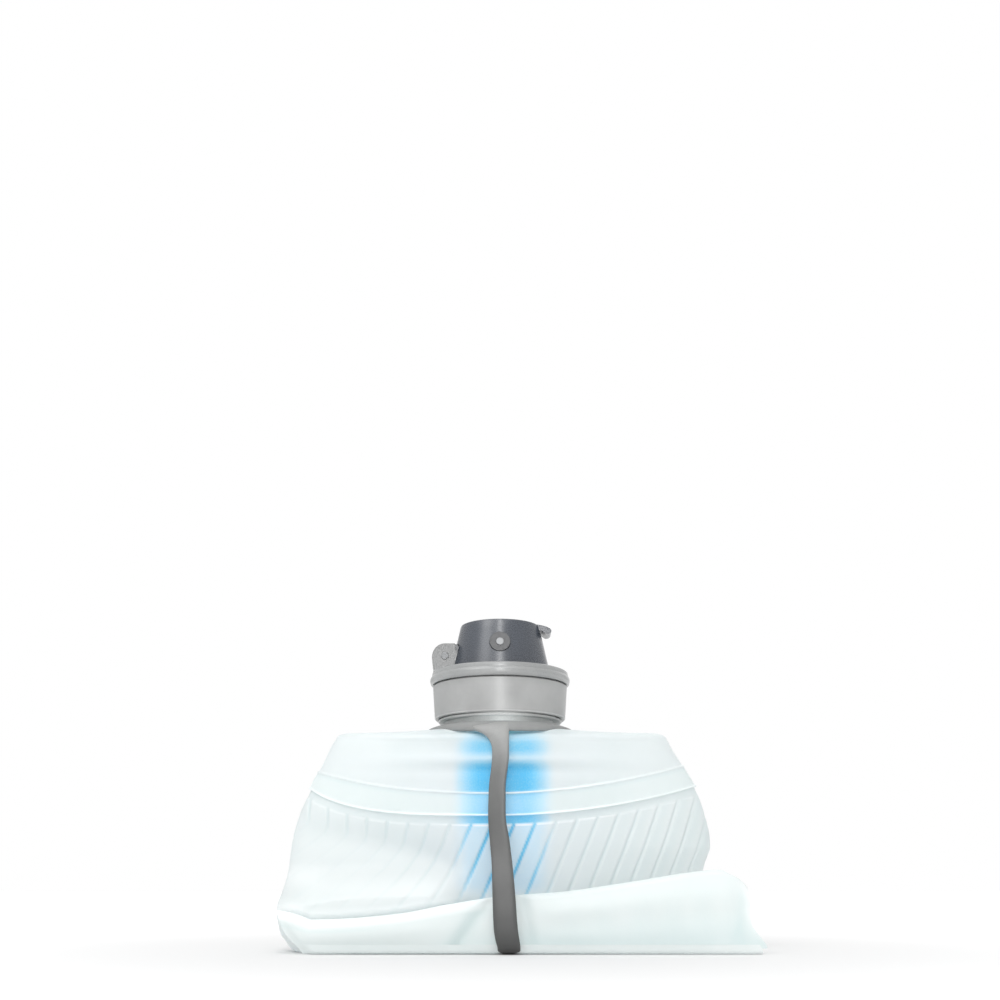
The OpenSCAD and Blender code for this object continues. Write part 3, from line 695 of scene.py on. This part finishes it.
def tail_row(u):
    """u 0..1 up the front layer, 1..2 round the crease, 2..3 down the rear layer."""
    xg = -85 + 177 * pc
    for _ in range(3):
        top = fold_top(xg)
        if u <= 1:
            z = 3.6 + (top - 2.4 - 3.6) * u
        elif u <= 2:
            z = top - 2.4 + 2.4 * math.sin((u - 1) * math.pi)
        else:
            q = u - 2
            low = 8.0 - 6.0 * smooth1(xg, 80, 92)
            z = (top - 2.4) * (1 - q) + low * q
        lo, hi = left_edge(z), (right_edge(z) if u <= 1.5 else right_edge(z) * (1 - smooth1(u, 1.5, 2.2)) + rear_right(z) * smooth1(u, 1.5, 2.2))
        xg = lo + (hi - lo) * pc
    top = fold_top(xg)
    fr = np.clip((z - 3.6) / np.maximum(top - 6.0, 1), 0, 1)
    side = smooth1(pc, 0, 0.03)
    strapgap = smooth1(np.abs(xg - 1.8), 4.5, 10)
    lft = smooth1(-xg, 12, 42) * (1 - smooth1(-xg, 66, 82)) * 1.45 * np.sin(fr * math.pi) ** 0.9
    rgt = smooth1(xg, 8, 24) * (1 - smooth1(xg, 84, 92)) * (1.35 * bump1(fr, 0.74, 0.26) + 0.35 * bump1(fr, 0.2, 0.2))
    fine = 0.12 * np.sin(xg / 2.9 + 0.6 * np.sin(xg / 17.0)) * bump1(fr, 0.6, 0.35) * smooth1(xg, 20, 34)
    valley = 1.1 * bump1(xg, -3.4 + (z - 20) * 0.72, 3.2) * smooth1(-xg, 0.5, 4)
    valley = valley + 0.8 * bump1(xg, 9.0 + (20 - z) * 0.15, 2.2)
    bul = lft + rgt + fine - valley
    press = 1.2 * (1 - strapgap) * fr ** 2
    if u <= 1:
        y = -36.45 - bul - 0.15 * smooth1(xg, 20, 80) + press
    elif u <= 2:
        a = (u - 1) * math.pi
        y = -33.95 - 2.5 * math.cos(a) + 0 * xg
        y = y - (bul + 0.15 * smooth1(xg, 20, 80) - press) * (1 - smooth1(u, 1.0, 1.6))
    else:
        y = np.full(P, -31.45)
    y = y * side + (-34.2) * (1 - side)
    return xg, y, z


us = np.concatenate([np.linspace(0, 1, 34), np.linspace(1, 2, 18)[1:], np.linspace(2, 3, 20)[1:]])
tr_ = [tail_row(u) for u in us]
TX = np.array([r[0] for r in tr_]); TY = np.array([r[1] for r in tr_]); TZ = np.array([r[2] * np.ones(P) for r in tr_])
tg = np.zeros_like(TX)
tfr = np.clip((TZ - 3.6) / np.maximum(fold_top(TX) - 6.0, 1), 0, 1)
# painted shade on the tail: darker low down, along the valley by the strap and a line right of it, in fine vertical
# creases, at the right end, and in a band across the left
tail_shade = 0.80 * (1 - smooth1(tfr, 0.0, 0.60)) * smooth1(TX, -30, 10) + 0.06 * (1 - smooth1(tfr, 0.0, 0.22))
tail_shade += 0.75 * bump1(TX, -5.4 + (TZ - 20) * 0.72, 3.4) * smooth1(-TX, 0.5, 4) * (1 - smooth1(tfr, 0.8, 1.0))
tail_shade += 0.30 * bump1(TX, 8.6 + (20 - TZ) * 0.2, 2.6)
tail_shade += 0.16 * (0.5 + 0.5 * np.sin(TX / 1.9 + 0.8 * np.sin(TX / 13.0))) * bump1(tfr, 0.5, 0.3) * smooth1(TX, 16, 30)
tail_shade += 0.45 * bump1(TX - 0.16 * TZ, 86.5, 2.2) * (1 - smooth1(tfr, 0.75, 0.95))
tail_shade += 0.40 * bump1(tfr, 0.70, 0.10) * smooth1(-TX, 40, 60)
tail_shade = np.clip(tail_shade, 0, 1)
# painted light along the top of the tail's left part
tlit = 0.55 * smooth1(-TX, -2, 14) * smooth1(tfr, 0.82, 1.0)
tail = make("tail_roll", np.stack([TX, TY, TZ], -1).reshape(-1, 3), grid_faces(len(us), P), M_FILM,
            attrs={"glow": tg, "groove": tail_shade, "painted_light": tlit})
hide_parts("tail_front_panel", "tail_rear_panel", "tail_weld")
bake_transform(tail)

# turned-under film between the foot and the front layer
ub = np.linspace(0, 1, 16)
BX, BY, BZ = [], [], []
for u in ub:
    z = 3.6 * u ** 1.4 + 0.25 * (1 - u)
    y = curve([(0, -30.5), (0.35, -34.5), (0.6, -36.0), (1, -36.45)], u) + 0 * pc
    zz = curve([(0, 0.25), (0.35, 0.3), (0.6, 1.0), (1, 3.6)], u) + 0 * pc
    lo, hi = left_edge(zz), right_edge(zz)
    x = lo + (hi - lo) * pc
    side = smooth1(pc, 0, 0.03)
    strapgap = smooth1(np.abs(x - 1.8), 4.5, 10)
    y = y - 0.15 * smooth1(x, 20, 80) * u
    y = y * side + (-32.5 - 1.7 * u) * (1 - side)
    BX.append(x); BY.append(y); BZ.append(zz)
BX, BY, BZ = map(np.array, (BX, BY, BZ))
hem = make("tail_bottom_fold", np.stack([BX, BY, BZ], -1).reshape(-1, 3), grid_faces(len(ub), P), M_FILM,
           attrs={"glow": np.zeros_like(BX), "groove": np.zeros_like(BX), "painted_light": np.zeros_like(BX)})
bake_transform(hem)

# ------------------------------------------------------------------ strap
line = [(-27.0, 86.1), (-28.0, 85.9), (-28.7, 85.3), (-29.1, 84.2), (-29.5, 82.6), (-29.9, 80), (-30.6, 76), (-31.0, 72), (-31.1, 66), (-31.1, 56), (-31.4, 47), (-33.0, 38), (-35.6, 30.5), (-38.2, 24), (-39.5, 15), (-39.3, 8), (-38.2, 3.8), (-35.2, 1.35), (-30, 1.1), (-10, 1.05),
        (10, 1.05), (17, 1.3), (20.8, 3.6), (23.8, 9), (26.6, 18), (28.6, 30), (30.0, 44), (30.9, 58), (31.3, 70), (30.8, 78), (29.6, 83.6), (28.5, 86.0), (26.6, 87.3)]
pts = np.array(line, float)
dl = np.concatenate([[0], np.cumsum(np.hypot(*np.diff(pts, axis=0).T))])
K = 420
wq = np.linspace(0, 1, K)
sl = dl[-1] * (0.5 - 0.5 * np.sign(0.5 - wq) * np.abs(1 - 2 * wq) ** 0.72)
sl = dl[-1] * wq * 0.55 + sl * 0.45
ly = curve(list(zip(dl, pts[:, 0])), sl)
lz = curve(list(zip(dl, pts[:, 1])), sl)
ker = np.ones(7) / 7
for _ in range(2):
    ly[3:-3] = np.convolve(ly, ker, "same")[3:-3]
    lz[3:-3] = np.convolve(lz, ker, "same")[3:-3]
isfront = sl < dl[17]
e_left = curve([(0, -1.1), (2.4, -0.9), (5, -1.6), (9, -2.25), (22, -2.83), (31.8, -3.09), (41.4, -3.87), (50.7, -4.47), (60.5, -4.2), (73.9, -2.95), (77, -3.15), (79, -3.9), (80.6, -4.9), (82, -6.6), (82.9, -8.4), (83.8, -10.4), (84.6, -10.6), (85.5, -5.0), (86.3, -1.3), (87.0, -0.4), (88, 0.4)], lz)
e_right = curve([(0, 7.6), (2.4, 7.5), (9, 6.55), (22, 5.58), (31.8, 4.72), (41.4, 3.57), (50.7, 2.16), (60.5, 2.05), (73.9, 3.41), (81, 3.5), (86.2, 3.4), (87, 3.0), (88, 2.2)], lz)
b_half = curve([(0, 4.3), (10, 4.2), (30, 3.9), (60, 3.4), (79, 3.6), (82, 5.0), (84, 8.0), (85.5, 4.5), (87, 2.6), (88, 1.6)], lz)
b_mid = curve([(0, 3.3), (30, 0.6), (90, 0)], lz)
toe = smooth1(ly, -37.5, -29.0) * isfront
cx = np.where(isfront, (e_left + e_right) / 2, b_mid)
wd = np.where(isfront, e_right - e_left, 2 * b_half)
tw = np.where(isfront, math.radians(1) * curve([(0, 0), (30, 3), (50, 12), (62, 20), (74, 18), (80, 6), (84, 0), (90, 0)], lz), 0)
wd = wd / np.cos(tw)
ty = np.gradient(ly); tz = np.gradient(lz)
tn = np.hypot(ty, tz); ty /= tn; tz /= tn
Q = 32
qa = np.linspace(0, 2 * math.pi, Q, endpoint=False)
SVs, half_t = [], 1.15
for i in range(K):
    u = wd[i] / 2 * np.sign(np.cos(qa)) * np.abs(np.cos(qa)) ** 0.45
    v = half_t * np.sign(np.sin(qa)) * np.abs(np.sin(qa)) ** 0.62
    rdg = 0.55 * smooth1(lz[i], 50, 66) * (1 - smooth1(lz[i], 80, 86)) * (ly[i] < 0)
    v = v + rdg * np.exp(-((u / wd[i] - 0.06) / 0.16) ** 2) * (np.sin(qa) > 0.3)
    ct, st = math.cos(tw[i]), math.sin(tw[i])
    uu, vv = u * ct - v * st, u * st + v * ct
    # normal of the line in the plane, pointing away from the bag
    ny_, nz_ = tz[i], -ty[i]
    yy = ly[i] - vv * -ny_ * 1.0
    zz = lz[i] + vv * nz_
    SVs.append(np.stack([cx[i] + uu, yy, np.maximum(zz, 0.0)], -1))
SV = np.array(SVs).reshape(-1, 3)
sfc = grid_faces(K, Q, True)
sfc.append(tuple(range(Q))[::-1])
sfc.append(tuple((K - 1) * Q + i for i in range(Q)))
strap = make("strap", SV, sfc, M_STRAP)
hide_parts("bail_strap")
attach(strap, "strap")

# ------------------------------------------------------------------ carry ring: its front and back are drawn down by the strap
RN = 240
ra = np.linspace(0, 2 * math.pi, RN, endpoint=False)
pull = np.where(np.sin(ra) < 0, np.abs(np.sin(ra)), 0.8 * np.abs(np.sin(ra)))
zb = 86.7 - 3.5 * pull
outer_r = 29.4 + 0.25 * np.sin(3 * ra) * 0.4
ring_rows = []
for kind in range(15):
    if kind == 0:
        r, z = 23.5 + 0 * ra, 87.35 + 0 * ra
    elif kind == 1:
        r, z = 23.9 + 0 * ra, 87.65 + 0 * ra
    elif kind == 2:
        r, z = 25.5 + 0 * ra, 87.62 + 0 * ra
    elif kind == 3:
        r, z = 27.2 + 0 * ra, 87.5 + 0 * ra
    elif kind <= 9:
        t = (kind - 3) / 6.0
        a = t * math.pi / 2
        r = 27.2 + (outer_r - 27.2) * math.sin(a)
        z = 87.5 - (87.5 - (zb + 0.7)) * (1 - math.cos(a)) ** 0.85
    elif kind <= 12:
        a = (kind - 9) / 3.0 * math.pi / 2
        r = outer_r - 0.7 + 0.7 * math.cos(a)
        z = zb + 0.7 - 0.7 * math.sin(a)
    elif kind == 13:
        r, z = outer_r - 1.5, zb + 0.25
    else:
        r, z = 27.1 + 0 * ra, 87.25 + 0 * ra
    ring_rows.append(np.stack([r * np.cos(ra), r * np.sin(ra), z + 0 * ra], -1))
rv = np.concatenate(ring_rows, 0)
rf = grid_faces(15, RN, True) + [(14 * RN + i, 14 * RN + (i + 1) % RN, (i + 1) % RN, i) for i in range(RN)]
ring = make("carry_ring", rv, [f[::-1] for f in rf], M_RING)
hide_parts("bail_ring")
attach(ring, "bag")

# ------------------------------------------------------------------ floor
fm, ns, L = mat("floor_white")
out = ns.new("ShaderNodeOutputMaterial")
p = ns.new("ShaderNodeBsdfPrincipled")
p.inputs["Roughness"].default_value = 0.9
p.inputs["Specular IOR Level"].default_value = 0.05
p.inputs["Emission Color"].default_value = (1, 1, 1, 1)
# painted light: the floor is darker close to the bag, where the lamps' light pools, and glows further out so the far
# floor reads as plain white
ftc = ns.new("ShaderNodeTexCoord")
fl = node(ns, "ShaderNodeVectorMath", operation="LENGTH")
L.new(ftc.outputs["Object"], fl.inputs[0])
fr_ = node(ns, "ShaderNodeMapRange", interpolation_type="SMOOTHSTEP")
fr_.inputs["From Min"].default_value = 0.02
fr_.inputs["From Max"].default_value = 0.52
L.new(fl.outputs["Value"], fr_.inputs["Value"])
fc = node(ns, "ShaderNodeMixRGB")
fc.inputs["Color1"].default_value = (0.745, 0.745, 0.745, 1)
fc.inputs["Color2"].default_value = (0.95, 0.95, 0.95, 1)
L.new(fr_.outputs[0], fc.inputs["Fac"])
L.new(fc.outputs[0], p.inputs["Base Color"])
fe = node(ns, "ShaderNodeMath", operation="MULTIPLY")
fe.inputs[1].default_value = 0.20
L.new(fr_.outputs[0], fe.inputs[0])
L.new(fe.outputs[0], p.inputs["Emission Strength"])
L.new(p.outputs[0], out.inputs[0])
bpy.ops.mesh.primitive_plane_add(size=12, location=(0, 0, 0))
floor = bpy.context.object
floor.name = "floor"
floor.data.materials.append(fm)

bpy.context.view_layer.update()
